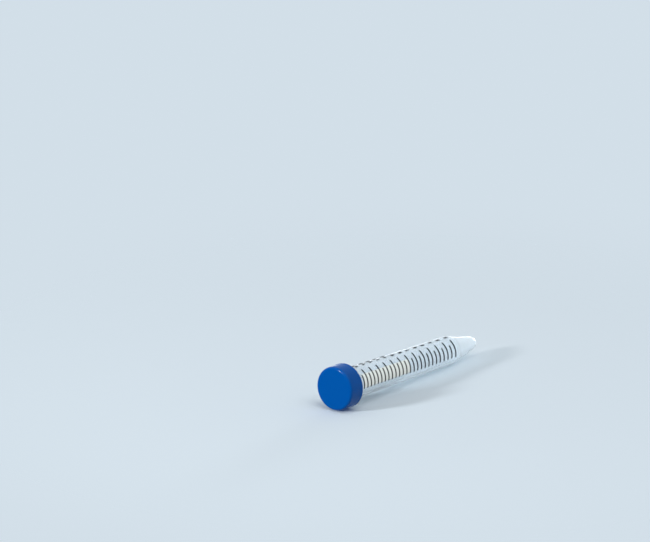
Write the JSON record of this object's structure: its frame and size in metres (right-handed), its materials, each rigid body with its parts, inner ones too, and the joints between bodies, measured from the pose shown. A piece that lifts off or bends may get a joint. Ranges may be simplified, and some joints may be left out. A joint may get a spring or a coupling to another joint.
{
  "type": "15 ml conical centrifuge tube",
  "caption": "Clear conical-bottom centrifuge tube with a printed scale and a smooth screw cap, closed and standing on its cap.",
  "frame": {"origin": "the centre of the cap's flat top, which the closed tube stands on", "axes": "+Z from the cap to the tip along the tube's axis, -Y the front, where the printed scale is"},
  "size_m": [0.0238, 0.0238, 0.12],
  "materials": {
    "clear_polypropylene": "gloss",
    "blue_polyethylene": "satin",
    "white_soft_plastic": "matte",
    "white_ink": "satin",
    "black_ink": "satin"
  },
  "bodies": {
    "cap": {"screw_cap": "blue_polyethylene"},
    "seal": {"seal_disc": "white_soft_plastic"},
    "tube_body": {"tube": "clear_polypropylene", "writing_patch": "white_ink", "graduation_lines": "black_ink", "graduation_numbers": "black_ink"}
  },
  "joints": [
    {"name": "tube_turn", "type": "hinge", "parent": "cap", "child": "seal", "pos_m": [0, 0, 0], "axis": [0, 0, 1], "range_deg": [0, 1170]},
    {"name": "tube_lift", "type": "slide", "parent": "seal", "child": "tube_body", "axis": [0, 0, 1], "range_m": [0, 0.0098]}
  ],
  "couplings": [
    {"joint": "tube_lift", "follows": "tube_turn", "m_per_rad": 0.00047746}
  ]
}
